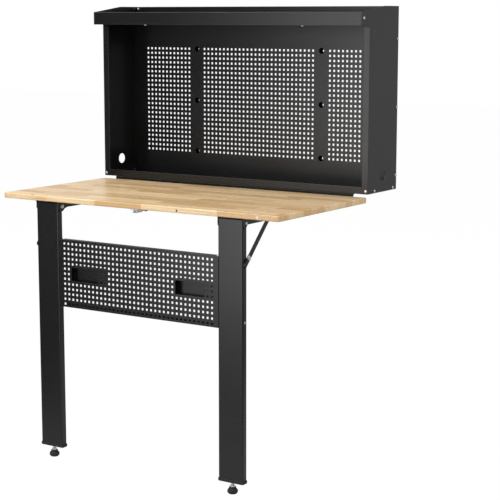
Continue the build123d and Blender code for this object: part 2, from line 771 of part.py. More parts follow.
pocket_half_height = window_size[1] / 2 + pocket_margin
for side_name, side in sides.items():
    window_left = side * window_x - window_size[0] / 2
    window_right = side * window_x + window_size[0] / 2
    pocket_x = (window_left - pocket_margin, window_right + pocket_margin + pocket_extra)
    pocket_heights = (window_height - pocket_half_height, window_height + pocket_half_height)
    with BuildPart() as pocket:
        block(pocket_x, (pocket_back_depth, panel_back), pocket_heights)
        fillet(edges().filter_by(Axis.Y), pocket_corner)
        front_face = faces().sort_by(Axis.Y)[0]
        offset(amount=-thin_sheet, openings=front_face)
    save(pocket.part, f"handle_pocket_{side_name}")

# Braces: a bar on each leg, whose upper pin runs along the slot of the bracket
leg_face = leg_x + leg_width / 2
for side_name, side in sides.items():
    outward = (side, 0, 0)
    leg_end_point = at(brace_leg_depth, brace_leg_height)
    top_end_point = at(brace_top_depth, brace_top_height)
    with BuildPart() as brace:
        with BuildSketch(Plane.YZ.offset(side * brace_inner)):
            with Locations(leg_end_point, top_end_point):
                Circle(brace_half_width)
            make_hull()
            with Locations(leg_end_point):
                Circle(brace_pin_radius + running_gap, mode=Mode.SUBTRACT)
            with Locations(top_end_point):
                Circle(brace_pin_radius, mode=Mode.SUBTRACT)
        extrude(amount=side * brace_steel)
    save(brace.part, f"brace_{side_name}")

    with BuildPart() as brace_pin:
        pin_x = sorted((side * brace_inner, side * brace_pin_end))
        rod_x(pin_x, brace_top_depth, brace_top_height, brace_pin_radius)
    save(brace_pin.part, f"brace_pin_{side_name}")

    # Sleeve around the bar, close to its lower end
    with BuildPart() as collar:
        along_bar = (0, brace_leg_depth - brace_top_depth, brace_top_height - brace_leg_height)
        collar_origin = (side * (brace_inner + brace_steel / 2), *leg_end_point)
        with BuildSketch(Plane(origin=collar_origin, x_dir=along_bar, z_dir=outward)) as sleeve:
            with Locations((collar_start + collar_length / 2, 0)):
                Rectangle(collar_length, 2 * collar_half_width)
        with BuildSketch(Plane(origin=collar_origin, x_dir=along_bar, z_dir=outward)) as bar_space:
            with Locations((collar_start + collar_length / 2, 0)):
                Rectangle(collar_length, 2 * brace_half_width + running_gap)
        extrude(sleeve.sketch, amount=brace_steel / 2 + collar_wall, both=True)
        fillet(edges().filter_by(Axis(collar_origin, along_bar)), collar_wall)
        extrude(bar_space.sketch, amount=brace_steel / 2, both=True, mode=Mode.SUBTRACT)
    save(collar.part, f"brace_collar_{side_name}")

# Bolts on which the braces turn, and screws lower down: both go through the leg into the lower panel
long_screw_reach = leg_width + 2
brace_bolts = []
panel_places = []
for side in sides.values():
    outward = (side, 0, 0)
    with BuildPart() as brace_bolt:
        head_x = brace_inner + brace_steel + brace_side_gap
        head_plane = screw_plane(side * head_x, brace_leg_depth, brace_leg_height, outward)
        pan_screw(head_plane, head_x - leg_face, head_radius=brace_bolt_head_radius,
                  head_height=brace_bolt_head_height, radius=brace_pin_radius, recess=False)
        shoulder_x = sorted((side * leg_face, side * (brace_inner - brace_side_gap)))
        rod_x(shoulder_x, brace_leg_depth, brace_leg_height, brace_shoulder_radius)
        thread_x = sorted((side * (leg_face - long_screw_reach), side * leg_face))
        rod_x(thread_x, brace_leg_depth, brace_leg_height, leg_screw_radius)
    brace_bolts.append(brace_bolt.part.solid())
    panel_places.append((side * leg_face, panel_screw_depth, panel_screw_height, outward))
group_of(brace_bolts, "brace_bolts")
screw_group(panel_places, "lower_panel_screws", long_screw_reach, radius=leg_screw_radius,
            head_radius=panel_screw_head_radius, head_height=panel_screw_head_height)

# Latch: a barrel bolt under the front edge, which shoots into the fascia when the top is folded up
plate_bottom = underside - latch_steel
with BuildPart() as latch_body:
    plate_x = (-latch_plate_half_width, latch_plate_half_width)
    housing_x = (-latch_housing_half_width, latch_housing_half_width)
    block(housing_x, latch_housing_depths, (latch_housing_bottom, plate_bottom))
    fillet(edges().filter_by(Axis.Y).group_by(Axis.Z)[0], latch_housing_corner)
    block(plate_x, latch_plate_depths, (plate_bottom, underside))
    fillet(edges().filter_by(Axis.Z), latch_plate_corner)
    bore_radius = latch_rod_radius + running_gap
    rod_y(0, latch_plate_depths, latch_axis_height, bore_radius, Mode.SUBTRACT)
    for x in latch_screw_xs:
        for depth in latch_screw_depths:
            rod_z(x, depth, (plate_bottom, underside), screw_hole_radius, Mode.SUBTRACT)
save(latch_body.part, "latch_body")

with BuildPart() as latch_bolt:
    rod_y(0, latch_rod_depths, latch_axis_height, latch_rod_radius)
    chamfer(edges().group_by(Axis.Y)[0], latch_end_chamfer)
save(latch_bolt.part, "latch_bolt")

with BuildPart() as latch_knob:
    rod_y(0, latch_knob_depths, latch_axis_height, latch_knob_radius)
    fillet(edges().group_by(Axis.Y)[-1], latch_knob_round)
    fillet(edges().group_by(Axis.Y)[0], latch_end_chamfer)
    socket_depths = (latch_rod_depths[0], latch_knob_depths[1])
    rod_y(0, socket_depths, latch_axis_height, latch_rod_radius, Mode.SUBTRACT)
save(latch_knob.part, "latch_knob")

latch_places = []
for x in latch_screw_xs:
    for depth in latch_screw_depths:
        latch_places.append((x, depth, plate_bottom, downward))
screw_group(latch_places, "latch_screws", wood_screw_length,
            head_radius=latch_screw_head_radius, head_height=latch_screw_head_height)
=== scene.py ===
import bmesh
import bpy
import json
import math
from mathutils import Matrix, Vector


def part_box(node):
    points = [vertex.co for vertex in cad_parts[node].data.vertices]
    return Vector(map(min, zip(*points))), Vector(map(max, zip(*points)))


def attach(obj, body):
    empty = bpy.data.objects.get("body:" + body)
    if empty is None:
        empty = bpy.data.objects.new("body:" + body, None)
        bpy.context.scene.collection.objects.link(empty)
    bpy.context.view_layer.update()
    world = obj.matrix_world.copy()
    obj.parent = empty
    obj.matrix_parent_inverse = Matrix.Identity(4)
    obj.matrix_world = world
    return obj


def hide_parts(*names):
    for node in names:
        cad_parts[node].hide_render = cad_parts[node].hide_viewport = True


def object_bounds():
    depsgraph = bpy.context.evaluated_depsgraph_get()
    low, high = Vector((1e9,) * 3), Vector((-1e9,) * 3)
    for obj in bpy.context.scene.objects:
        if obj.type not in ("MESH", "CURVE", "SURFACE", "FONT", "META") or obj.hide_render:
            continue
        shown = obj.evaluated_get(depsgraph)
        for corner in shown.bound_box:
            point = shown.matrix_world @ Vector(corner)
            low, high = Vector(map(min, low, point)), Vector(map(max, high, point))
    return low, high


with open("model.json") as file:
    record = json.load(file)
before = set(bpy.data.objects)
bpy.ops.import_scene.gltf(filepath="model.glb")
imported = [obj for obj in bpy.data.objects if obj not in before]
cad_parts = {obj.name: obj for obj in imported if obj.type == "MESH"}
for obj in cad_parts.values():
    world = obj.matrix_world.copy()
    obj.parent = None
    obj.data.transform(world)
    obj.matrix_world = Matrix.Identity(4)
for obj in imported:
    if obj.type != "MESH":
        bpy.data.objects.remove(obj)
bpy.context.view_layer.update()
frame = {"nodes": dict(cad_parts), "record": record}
print("frame loaded:", len(frame["nodes"]), "nodes")

# Camera and lamps

cameraSetup = {
    "place": (3.0916, -4.8251, 0.331),
    "turn": (80.929, -0.04, 33.047),      # degrees
    "lens": 105.34,
    "sensorWidth": 36,
    "farthest": 100,
}


def makeCamera():
    data = bpy.data.cameras.new("camera")
    data.lens = cameraSetup["lens"]
    data.sensor_width = cameraSetup["sensorWidth"]
    data.clip_end = cameraSetup["farthest"]
    camera = bpy.data.objects.new("camera", data)
    camera.location = cameraSetup["place"]
    camera.rotation_euler = [math.radians(angle) for angle in cameraSetup["turn"]]
    bpy.context.collection.objects.link(camera)
    bpy.context.scene.camera = camera


lightSetup = {
    # name: (place, aims at, width, height, watts)
    "frontPanel": ((-0.56, -3.5, -0.12), (-0.56, 0.0, -0.12), 2.2, 2.3, 45),
    "keyPanel": ((2.6, -3.9, 2.9), (0.0, -0.6, -0.3), 1.2, 1.2, 34),
    "topPanel": ((-0.9, -0.9, 3.0), (-0.1, -0.5, -0.1), 3.4, 2.2, 76),
    "hemPanel": ((-1.7, -2.2, 2.4), (0.0, -0.3, 0.3), 3.0, 0.6, 42),
    "sidePanel": ((3.4, -1.6, 0.7), (0.0, -0.6, -0.3), 1.6, 1.4, 38),
}


def makeLights():
    for name, (place, target, width, height, watts) in lightSetup.items():
        data = bpy.data.lights.new(name, "AREA")
        data.shape = "RECTANGLE"
        data.size = width
        data.size_y = height
        data.energy = watts
        lamp = bpy.data.objects.new(name, data)
        lamp.location = place
        aim = Vector(target) - Vector(place)
        lamp.rotation_euler = aim.to_track_quat("-Z", "Y").to_euler()
        bpy.context.collection.objects.link(lamp)


# Small helpers for node trees

def addNode(tree, kind, **settings):
    node = tree.nodes.new(kind)
    for name, value in settings.items():
        setattr(node, name, value)
    return node


def plug(tree, source, target):
    # source is a socket or a fixed value
    if isinstance(source, bpy.types.NodeSocket):
        tree.links.new(source, target)
    else:
        target.default_value = source


def calc(tree, operation, first, second=0.0):
    node = addNode(tree, "ShaderNodeMath", operation=operation)
    plug(tree, first, node.inputs[0])
    plug(tree, second, node.inputs[1])
    return node.outputs[0]


def between(tree, value, low, high, start=0.0, end=1.0):
    # smooth step of value from low..high to start..end
    node = addNode(tree, "ShaderNodeMapRange", interpolation_type="SMOOTHSTEP")
    limits = {"Value": value, "From Min": low, "From Max": high, "To Min": start, "To Max": end}
    for name, number in limits.items():
        plug(tree, number, node.inputs[name])
    return node.outputs["Result"]


def mixColour(tree, factor, first, second):
    node = addNode(tree, "ShaderNodeMix", data_type="RGBA")
    plug(tree, factor, node.inputs[0])
    plug(tree, first, node.inputs[6])     # the colour sockets of this node are A 6 and B 7
    plug(tree, second, node.inputs[7])
    return node.outputs[2]


def noise(tree, vector, scale, detail=2.0, roughness=0.5, distortion=0.0):
    node = addNode(tree, "ShaderNodeTexNoise")
    plug(tree, vector, node.inputs["Vector"])
    plug(tree, scale, node.inputs["Scale"])
    plug(tree, detail, node.inputs["Detail"])
    plug(tree, roughness, node.inputs["Roughness"])
    plug(tree, distortion, node.inputs["Distortion"])
    return node.outputs["Fac"]


def stretch(tree, vector, scale, shift=(0.0, 0.0, 0.0)):
    node = addNode(tree, "ShaderNodeMapping")
    plug(tree, vector, node.inputs["Vector"])
    plug(tree, scale, node.inputs["Scale"])
    plug(tree, shift, node.inputs["Location"])
    return node.outputs["Vector"]


def splitAxes(tree, vector):
    node = addNode(tree, "ShaderNodeSeparateXYZ")
    plug(tree, vector, node.inputs[0])
    return node.outputs


def newGroup(name, inputs, outputs):
    tree = bpy.data.node_groups.new(name, "ShaderNodeTree")
    for label, (kind, default) in inputs.items():
        socket = tree.interface.new_socket(label, in_out="INPUT", socket_type=kind)
        if default is not None:
            socket.default_value = default
    for label, kind in outputs.items():
        tree.interface.new_socket(label, in_out="OUTPUT", socket_type=kind)
    start = addNode(tree, "NodeGroupInput")
    end = addNode(tree, "NodeGroupOutput")
    return tree, start.outputs, end.inputs


def useGroup(tree, group, **values):
    # keyword names are the group's socket names without their spaces
    node = addNode(tree, "ShaderNodeGroup", node_tree=group)
    for socket in node.inputs:
        name = socket.name.replace(" ", "")
        if name in values:
            plug(tree, values[name], socket)
    return node.outputs


def newMaterial(name):
    material = bpy.data.materials.new(name)
    material.use_nodes = True
    tree = material.node_tree
    shader = tree.nodes["Principled BSDF"]
    return material, tree, shader


def objectPlace(tree):
    return addNode(tree, "ShaderNodeTexCoord").outputs["Object"]


def setBump(tree, shader, height, strength, distance, normal=None):
    bump = addNode(tree, "ShaderNodeBump")
    plug(tree, strength, bump.inputs["Strength"])
    plug(tree, distance, bump.inputs["Distance"])
    plug(tree, height, bump.inputs["Height"])
    if normal is not None:
        plug(tree, normal, bump.inputs["Normal"])
    plug(tree, bump.outputs["Normal"], shader.inputs["Normal"])


# Shared effects. A noise is given as its detail, roughness and distortion,
# with its scale in front where the group has no input for that.

coatGrain = {
    "unit": 1000.0,                       # peel and grit sizes are in millimetres
    "peelNoise": (1.0,),
    "gritNoise": (2.0, 0.7),
    "cloudNoise": (4.0, 3.0, 0.55),
    "cloudRange": (0.3, 0.7),
}


def makeCoatGrain():
    # Orange peel and fine grit of a sprayed or moulded surface
    tree, given, out = newGroup(
        "coatGrain",
        {"Place": ("NodeSocketVector", None), "Peel Size": ("NodeSocketFloat", 2.5),
         "Grit Size": ("NodeSocketFloat", 0.6), "Grit Share": ("NodeSocketFloat", 0.35)},
        {"Height": "NodeSocketFloat", "Tone": "NodeSocketFloat"},
    )
    place = given["Place"]
    peelScale = calc(tree, "DIVIDE", coatGrain["unit"], given["Peel Size"])
    gritScale = calc(tree, "DIVIDE", coatGrain["unit"], given["Grit Size"])
    peel = noise(tree, place, peelScale, *coatGrain["peelNoise"])
    grit = noise(tree, place, gritScale, *coatGrain["gritNoise"])
    cloudy = noise(tree, place, *coatGrain["cloudNoise"])
    gritPart = calc(tree, "MULTIPLY", grit, given["Grit Share"])
    plug(tree, calc(tree, "ADD", peel, gritPart), out["Height"])
    plug(tree, between(tree, cloudy, *coatGrain["cloudRange"]), out["Tone"])
    return tree


edgeWear = {
    "samples": 6,
    "turnRange": (0.99, 0.80),            # cosine of the angle to the face: flat, and fully an edge
    "patchNoise": (4.0, 0.65),
    "patchRange": (0.42, 0.68),
}


def makeEdgeWear():
    # Rounds the sharp edges of sheet metal and marks where the finish is thinner
    tree, given, out = newGroup(
        "edgeWear",
        {"Place": ("NodeSocketVector", None), "Radius": ("NodeSocketFloat", 0.0012),
         "Patch Size": ("NodeSocketFloat", 25.0)},
        {"Mask": "NodeSocketFloat", "Normal": "NodeSocketVector"},
    )
    bevel = addNode(tree, "ShaderNodeBevel", samples=edgeWear["samples"])
    plug(tree, given["Radius"], bevel.inputs["Radius"])
    geometry = addNode(tree, "ShaderNodeNewGeometry")
    facing = addNode(tree, "ShaderNodeVectorMath", operation="DOT_PRODUCT")
    plug(tree, bevel.outputs["Normal"], facing.inputs[0])
    plug(tree, geometry.outputs["True Normal"], facing.inputs[1])
    turned = between(tree, facing.outputs["Value"], *edgeWear["turnRange"])
    patches = noise(tree, given["Place"], given["Patch Size"], *edgeWear["patchNoise"])
    bare = between(tree, patches, *edgeWear["patchRange"])
    plug(tree, calc(tree, "MULTIPLY", turned, bare), out["Mask"])
    plug(tree, bevel.outputs["Normal"], out["Normal"])
    return tree


dustFilm = {
    "upRange": (0.3, 0.95),               # how far a surface looks up
    "wipeStretch": (6.0, 22.0, 22.0),
    "wipeNoise": (1.0, 4.0, 0.6),
    "wipeRange": (0.35, 0.75),
}


def makeDustFilm():
    # Thin dust on surfaces that look up, broken by wiping
    tree, given, out = newGroup(
        "dustFilm",
        {"Place": ("NodeSocketVector", None), "Amount": ("NodeSocketFloat", 0.3)},
        {"Mask": "NodeSocketFloat"},
    )
    geometry = addNode(tree, "ShaderNodeNewGeometry")
    upward = between(tree, splitAxes(tree, geometry.outputs["Normal"])["Z"], *dustFilm["upRange"])
    strokes = stretch(tree, given["Place"], dustFilm["wipeStretch"])
    wiped = between(tree, noise(tree, strokes, *dustFilm["wipeNoise"]), *dustFilm["wipeRange"])
    film = calc(tree, "MULTIPLY", upward, wiped)
    plug(tree, calc(tree, "MULTIPLY", film, given["Amount"]), out["Mask"])
    return tree


staveLayout = {
    "waveRate": 1.7,                      # uneven lengths along a row
    "waveShare": 0.22,
    "rowShift": 7.3,                      # rows start at different places
    "seamRange": (0.0007, 0.0001),        # metres from the glue line
    "grainJump": 40.0,                    # each stave takes its grain from elsewhere in the noise
}


def makeStaveLayout():
    # Glued staves: rows across the board, cut into lengths along it
    tree, given, out = newGroup(
        "staveLayout",
        {"Place": ("NodeSocketVector", None), "Row Width": ("NodeSocketFloat", 0.046),
         "Stave Length": ("NodeSocketFloat", 0.32), "Finger Depth": ("NodeSocketFloat", 0.006),
         "Finger Pitch": ("NodeSocketFloat", 0.006)},
        {"Tone": "NodeSocketFloat", "Hue": "NodeSocketFloat", "Seam": "NodeSocketFloat",
         "Shift": "NodeSocketVector"},
    )
    axes = splitAxes(tree, given["Place"])
    acrossRows = calc(tree, "DIVIDE", axes["Y"], given["Row Width"])
    row = calc(tree, "FLOOR", acrossRows)
    rowChance = addNode(tree, "ShaderNodeTexWhiteNoise", noise_dimensions="1D")
    plug(tree, row, rowChance.inputs["W"])
    # the finger joint zigzags through the thickness, so it shows on the long edges
    pitch = given["Finger Pitch"]
    halfPitch = calc(tree, "MULTIPLY", pitch, 0.5)
    zigzag = calc(tree, "DIVIDE", calc(tree, "PINGPONG", axes["Z"], halfPitch), pitch)
    finger = calc(tree, "MULTIPLY", zigzag, given["Finger Depth"])
    along = calc(tree, "DIVIDE", calc(tree, "ADD", axes["X"], finger), given["Stave Length"])
    phase = calc(tree, "ADD", calc(tree, "MULTIPLY", along, staveLayout["waveRate"]), row)
    wave = calc(tree, "MULTIPLY", calc(tree, "SINE", phase), staveLayout["waveShare"])
    jump = calc(tree, "MULTIPLY", rowChance.outputs["Value"], staveLayout["rowShift"])
    shifted = calc(tree, "ADD", calc(tree, "ADD", along, wave), jump)
    stave = calc(tree, "FLOOR", shifted)
    joined = addNode(tree, "ShaderNodeCombineXYZ")
    plug(tree, row, joined.inputs["X"])
    plug(tree, stave, joined.inputs["Y"])
    chance = addNode(tree, "ShaderNodeTexWhiteNoise", noise_dimensions="3D")
    plug(tree, joined.outputs[0], chance.inputs["Vector"])
    colours = addNode(tree, "ShaderNodeSeparateColor")
    plug(tree, chance.outputs["Color"], colours.inputs[0])
    # distance to the nearest glue line, in metres
    rowGap = calc(tree, "MULTIPLY", calc(tree, "PINGPONG", acrossRows, 0.5), given["Row Width"])
    staveGap = calc(tree, "MULTIPLY", calc(tree, "PINGPONG", shifted, 0.5), given["Stave Length"])
    nearest = calc(tree, "MINIMUM", rowGap, staveGap)
    plug(tree, between(tree, nearest, *staveLayout["seamRange"]), out["Seam"])
    plug(tree, colours.outputs[0], out["Tone"])
    plug(tree, colours.outputs[1], out["Hue"])
    spread = addNode(tree, "ShaderNodeVectorMath", operation="SCALE")
    plug(tree, chance.outputs["Color"], spread.inputs[0])
    plug(tree, staveLayout["grainJump"], spread.inputs["Scale"])
    plug(tree, spread.outputs[0], out["Shift"])
    return tree


woodGrain = {
    # name: (stretch along and across the board, noise)
    "broad": ((1.6, 26.0, 26.0), (3.0, 0.55, 0.6)),
    "ribbon": ((4.0, 95.0, 95.0), (2.0, 0.6, 0.3)),
    "fine": ((9.0, 420.0, 420.0), (3.0, 0.6)),
    "pores": ((70.0, 1500.0, 1500.0), (1.0, 0.5)),
    "heart": ((5.0, 75.0, 75.0), (3.0, 0.6, 0.6)),
    "ringCount": 7.0,
    "ringShare": 0.9,
    "ribbonShare": 0.75,
    "fineShare": 0.30,
    "lineRange": (0.40, 1.10),
    "poreRange": (0.60, 0.74),
    "heartRange": (0.60, 0.72),
}


def makeWoodGrain():
    # Growth lines along X, fine pores and brown heart streaks
    tree, given, out = newGroup(
        "woodGrain",
        {"Place": ("NodeSocketVector", None), "Shift": ("NodeSocketVector", None),
         "Line Size": ("NodeSocketFloat", 1.0)},
        {"Lines": "NodeSocketFloat", "Pores": "NodeSocketFloat", "Streak": "NodeSocketFloat"},
    )
    moved = addNode(tree, "ShaderNodeVectorMath", operation="ADD")
    plug(tree, given["Place"], moved.inputs[0])
    plug(tree, given["Shift"], moved.inputs[1])

    def layer(name):
        drawn, setting = woodGrain[name]
        return noise(tree, stretch(tree, moved.outputs[0], drawn), given["Line Size"], *setting)

    rings = calc(tree, "MULTIPLY", layer("broad"), woodGrain["ringCount"])
    rings = calc(tree, "MULTIPLY", calc(tree, "PINGPONG", rings, 0.5), woodGrain["ringShare"])
    ribbon = calc(tree, "MULTIPLY", layer("ribbon"), woodGrain["ribbonShare"])
    fine = calc(tree, "MULTIPLY", layer("fine"), woodGrain["fineShare"])
    lines = calc(tree, "ADD", calc(tree, "ADD", rings, ribbon), fine)
    plug(tree, between(tree, lines, *woodGrain["lineRange"]), out["Lines"])
    plug(tree, between(tree, layer("pores"), *woodGrain["poreRange"]), out["Pores"])
    plug(tree, between(tree, layer("heart"), *woodGrain["heartRange"]), out["Streak"])
    return tree


brushing = {
    "lineStretch": (0.08, 1.0, 0.4),
    "lineNoise": (2.0, 0.6),
    "cloudNoise": (260.0, 3.0, 0.6),
    "cloudRange": (0.3, 0.7),
}


def makeBrushing():
    # Fine drawn lines and cloudy crystals of plated steel
    tree, given, out = newGroup(
        "brushing",
        {"Place": ("NodeSocketVector", None), "Line Scale": ("NodeSocketFloat", 900.0)},
        {"Height": "NodeSocketFloat", "Cloud": "NodeSocketFloat"},
    )
    drawn = stretch(tree, given["Place"], brushing["lineStretch"])
    plug(tree, noise(tree, drawn, given["Line Scale"], *brushing["lineNoise"]), out["Height"])
    cloud = noise(tree, given["Place"], *brushing["cloudNoise"])
    plug(tree, between(tree, cloud, *brushing["cloudRange"]), out["Cloud"])
    return tree


groups = {
    "coatGrain": makeCoatGrain(),
    "edgeWear": makeEdgeWear(),
    "dustFilm": makeDustFilm(),
    "staveLayout": makeStaveLayout(),
    "woodGrain": makeWoodGrain(),
    "brushing": makeBrushing(),
}
print("shared effects made:", len(groups))


# Finishes

powderCoat = {
    "deep": (0.0022, 0.0022, 0.0024, 1),
    "light": (0.0046, 0.0046, 0.0049, 1),
    "worn": (0.045, 0.045, 0.046, 1),
    "dust": (0.13, 0.125, 0.118, 1),
    "peelSize": 2.2,                      # millimetres
    "gritSize": 0.5,
    "gritShare": 0.45,
    "patchSize": 18.0,
    "grainRange": (0.3, 1.0),
    "gloss": (0.25, 0.36),
    "dustRoughness": 0.3,
    "bump": (0.10, 0.0004),               # strength and distance
}


def makePowderCoat(name, dust, wear, edgeRadius, sheen=0.60):
    material, tree, shader = newMaterial(name)
    place = objectPlace(tree)
    grain = useGroup(tree, groups["coatGrain"], Place=place, PeelSize=powderCoat["peelSize"],
                     GritSize=powderCoat["gritSize"], GritShare=powderCoat["gritShare"])
    edge = useGroup(tree, groups["edgeWear"], Place=place, Radius=edgeRadius,
                    PatchSize=powderCoat["patchSize"])
    film = useGroup(tree, groups["dustFilm"], Place=place, Amount=dust)
    colour = mixColour(tree, grain["Tone"], powderCoat["deep"], powderCoat["light"])
    thin = calc(tree, "MULTIPLY", edge["Mask"], wear)
    colour = mixColour(tree, thin, colour, powderCoat["worn"])
    colour = mixColour(tree, film["Mask"], colour, powderCoat["dust"])
    plug(tree, colour, shader.inputs["Base Color"])
    coat = between(tree, grain["Height"], *powderCoat["grainRange"], *powderCoat["gloss"])
    dusty = calc(tree, "MULTIPLY", film["Mask"], powderCoat["dustRoughness"])
    plug(tree, calc(tree, "ADD", coat, dusty), shader.inputs["Roughness"])
    setBump(tree, shader, grain["Height"], *powderCoat["bump"], edge["Normal"])
    plug(tree, sheen, shader.inputs["Specular IOR Level"])
    return material


benchWood = {
    "pale": (0.815, 0.625, 0.370, 1),
    "warm": (0.590, 0.370, 0.172, 1),
    "line": (0.540, 0.325, 0.145, 1),
    "streak": (0.420, 0.160, 0.052, 1),
    "pore": (0.330, 0.185, 0.085, 1),
    "glue": (0.400, 0.240, 0.110, 1),
    "rowWidth": 0.0475,
    "staveLength": 0.27,
    "edgeRadius": 0.0012,
    "edgePatch": 30.0,
    "toneRange": (0.10, 1.0),
    "lineShare": (0.0, 1.0, 0.22, 0.58),  # from the stave's own chance to how strong it shows
    "heartShare": (0.35, 0.70, 0.10, 0.80),
    "poreShare": 0.30,
    "seamShare": 0.55,
    "poreDip": -0.5,
    "lineRise": 0.25,
    "seamDip": 0.8,
    "gloss": (0.22, 0.34),
    "bump": (0.16, 0.0005),
}


def makeBenchWood():
    material, tree, shader = newMaterial("oiledRubberwood")
    place = objectPlace(tree)
    staves = useGroup(tree, groups["staveLayout"], Place=place, RowWidth=benchWood["rowWidth"],
                      StaveLength=benchWood["staveLength"])
    grain = useGroup(tree, groups["woodGrain"], Place=place, Shift=staves["Shift"])
    edge = useGroup(tree, groups["edgeWear"], Place=place, Radius=benchWood["edgeRadius"],
                    PatchSize=benchWood["edgePatch"])
    tone = between(tree, staves["Tone"], *benchWood["toneRange"])
    colour = mixColour(tree, tone, benchWood["pale"], benchWood["warm"])
    lineShare = between(tree, staves["Hue"], *benchWood["lineShare"])
    heartShare = between(tree, staves["Hue"], *benchWood["heartShare"])
    layers = (
        (grain["Lines"], lineShare, "line"),
        (grain["Streak"], heartShare, "streak"),
        (grain["Pores"], benchWood["poreShare"], "pore"),
        (staves["Seam"], benchWood["seamShare"], "glue"),
    )
    for mask, share, name in layers:
        colour = mixColour(tree, calc(tree, "MULTIPLY", mask, share), colour, benchWood[name])
    plug(tree, colour, shader.inputs["Base Color"])
    gloss = between(tree, grain["Lines"], 0.0, 1.0, *benchWood["gloss"])
    plug(tree, gloss, shader.inputs["Roughness"])
    poreDip = calc(tree, "MULTIPLY", grain["Pores"], benchWood["poreDip"])
    lineRise = calc(tree, "MULTIPLY", grain["Lines"], benchWood["lineRise"])
    seamDip = calc(tree, "MULTIPLY", staves["Seam"], benchWood["seamDip"])
    relief = calc(tree, "SUBTRACT", calc(tree, "ADD", poreDip, lineRise), seamDip)
    setBump(tree, shader, relief, *benchWood["bump"], edge["Normal"])
    return material


zincPlate = {
    "bright": (0.90, 0.90, 0.89, 1),
    "dull": (0.74, 0.745, 0.75, 1),
    "grime": (0.10, 0.095, 0.09, 1),
    "lineScale": 900.0,
    "edgeRadius": 0.0004,
    "edgePatch": 300.0,
    "grimeNoise": (420.0, 3.0, 0.6),
    "grimeRange": (0.5, 0.75),
    "gloss": (0.24, 0.44),
    "bump": (0.12, 0.0001),
}


def makeZinc(name, grime):
    material, tree, shader = newMaterial(name)
    place = objectPlace(tree)
    brushed = useGroup(tree, groups["brushing"], Place=place, LineScale=zincPlate["lineScale"])
    edge = useGroup(tree, groups["edgeWear"], Place=place, Radius=zincPlate["edgeRadius"],
                    PatchSize=zincPlate["edgePatch"])
    colour = mixColour(tree, brushed["Cloud"], zincPlate["bright"], zincPlate["dull"])
    spots = between(tree, noise(tree, place, *zincPlate["grimeNoise"]), *zincPlate["grimeRange"])
    colour = mixColour(tree, calc(tree, "MULTIPLY", spots, grime), colour, zincPlate["grime"])
    plug(tree, colour, shader.inputs["Base Color"])
    plug(tree, 1.0, shader.inputs["Metallic"])
    gloss = between(tree, brushed["Cloud"], 0.0, 1.0, *zincPlate["gloss"])
    plug(tree, gloss, shader.inputs["Roughness"])
    setBump(tree, shader, brushed["Height"], *zincPlate["bump"], edge["Normal"])
    return material


mouldedPlastic = {
    "base": (0.0150, 0.0150, 0.0155, 1),
    "scuffed": (0.060, 0.060, 0.060, 1),
    "gritSize": 0.35,
    "gritShare": 0.6,
    "edgeRadius": 0.0008,
    "edgePatch": 90.0,
    "dust": 0.2,
    "dustShare": 0.6,
    "scuff": 0.5,
    "grainRange": (0.3, 1.1),
    "glossSpread": (-0.06, 0.1),          # round the roughness of each kind
    "sheen": 0.32,
    "bump": (0.25, 0.0002),
}


def makePlastic(name, roughness, peel):
    material, tree, shader = newMaterial(name)
    place = objectPlace(tree)
    grain = useGroup(tree, groups["coatGrain"], Place=place, PeelSize=peel,
                     GritSize=mouldedPlastic["gritSize"], GritShare=mouldedPlastic["gritShare"])
    edge = useGroup(tree, groups["edgeWear"], Place=place, Radius=mouldedPlastic["edgeRadius"],
                    PatchSize=mouldedPlastic["edgePatch"])
    film = useGroup(tree, groups["dustFilm"], Place=place, Amount=mouldedPlastic["dust"])
    rubbed = calc(tree, "MULTIPLY", edge["Mask"], mouldedPlastic["scuff"])
    dusty = calc(tree, "MULTIPLY", film["Mask"], mouldedPlastic["dustShare"])
    worn = calc(tree, "MAXIMUM", rubbed, dusty)
    colour = mixColour(tree, worn, mouldedPlastic["base"], mouldedPlastic["scuffed"])
    plug(tree, colour, shader.inputs["Base Color"])
    smooth, rough = (roughness + step for step in mouldedPlastic["glossSpread"])
    gloss = between(tree, grain["Height"], *mouldedPlastic["grainRange"], smooth, rough)
    plug(tree, gloss, shader.inputs["Roughness"])
    setBump(tree, shader, grain["Height"], *mouldedPlastic["bump"], edge["Normal"])
    plug(tree, mouldedPlastic["sheen"], shader.inputs["Specular IOR Level"])
    return material


finishes = {
    "cabinetCoat": makePowderCoat("cabinetPowderCoat", dust=0.05, wear=0.6, edgeRadius=0.0020),
    "hingeCoat": makePowderCoat("hingePowderCoat", dust=0.02, wear=0.2, edgeRadius=0.0006,
                                sheen=0.22),
    "hemmedCoat": makePowderCoat("hemmedPowderCoat", dust=0.05, wear=0.6, edgeRadius=0.0036),
    "legCoat": makePowderCoat("legPowderCoat", dust=0.04, wear=0.8, edgeRadius=0.0018),
    "wood": makeBenchWood(),
    "zinc": makeZinc("zincPlate", grime=0.25),
    "screwZinc": makeZinc("zincScrew", grime=0.35),
    "capPlastic": makePlastic("legCapPlastic", roughness=0.58, peel=1.4),
    "footRubber": makePlastic("footRubber", roughness=0.62, peel=1.0),
}
print("finishes made:", len(finishes))

cabinetSheets = (
    "side_panel_left", "side_panel_right", "bottom_panel", "perforated_rear_panel",
    "wall_rail_left", "wall_rail_right", "top_tray", "fascia",
)
hingeLeaves = ("hinge_cabinet_leaf", "hinge_worktop_leaf")
footParts = ("foot_pad_left", "foot_pad_right")
plateParts = (
    "latch_body", "latch_bolt", "leg_pivot_bolt_left", "leg_pivot_bolt_right", "brace_collar_left",
    "brace_collar_right",
)


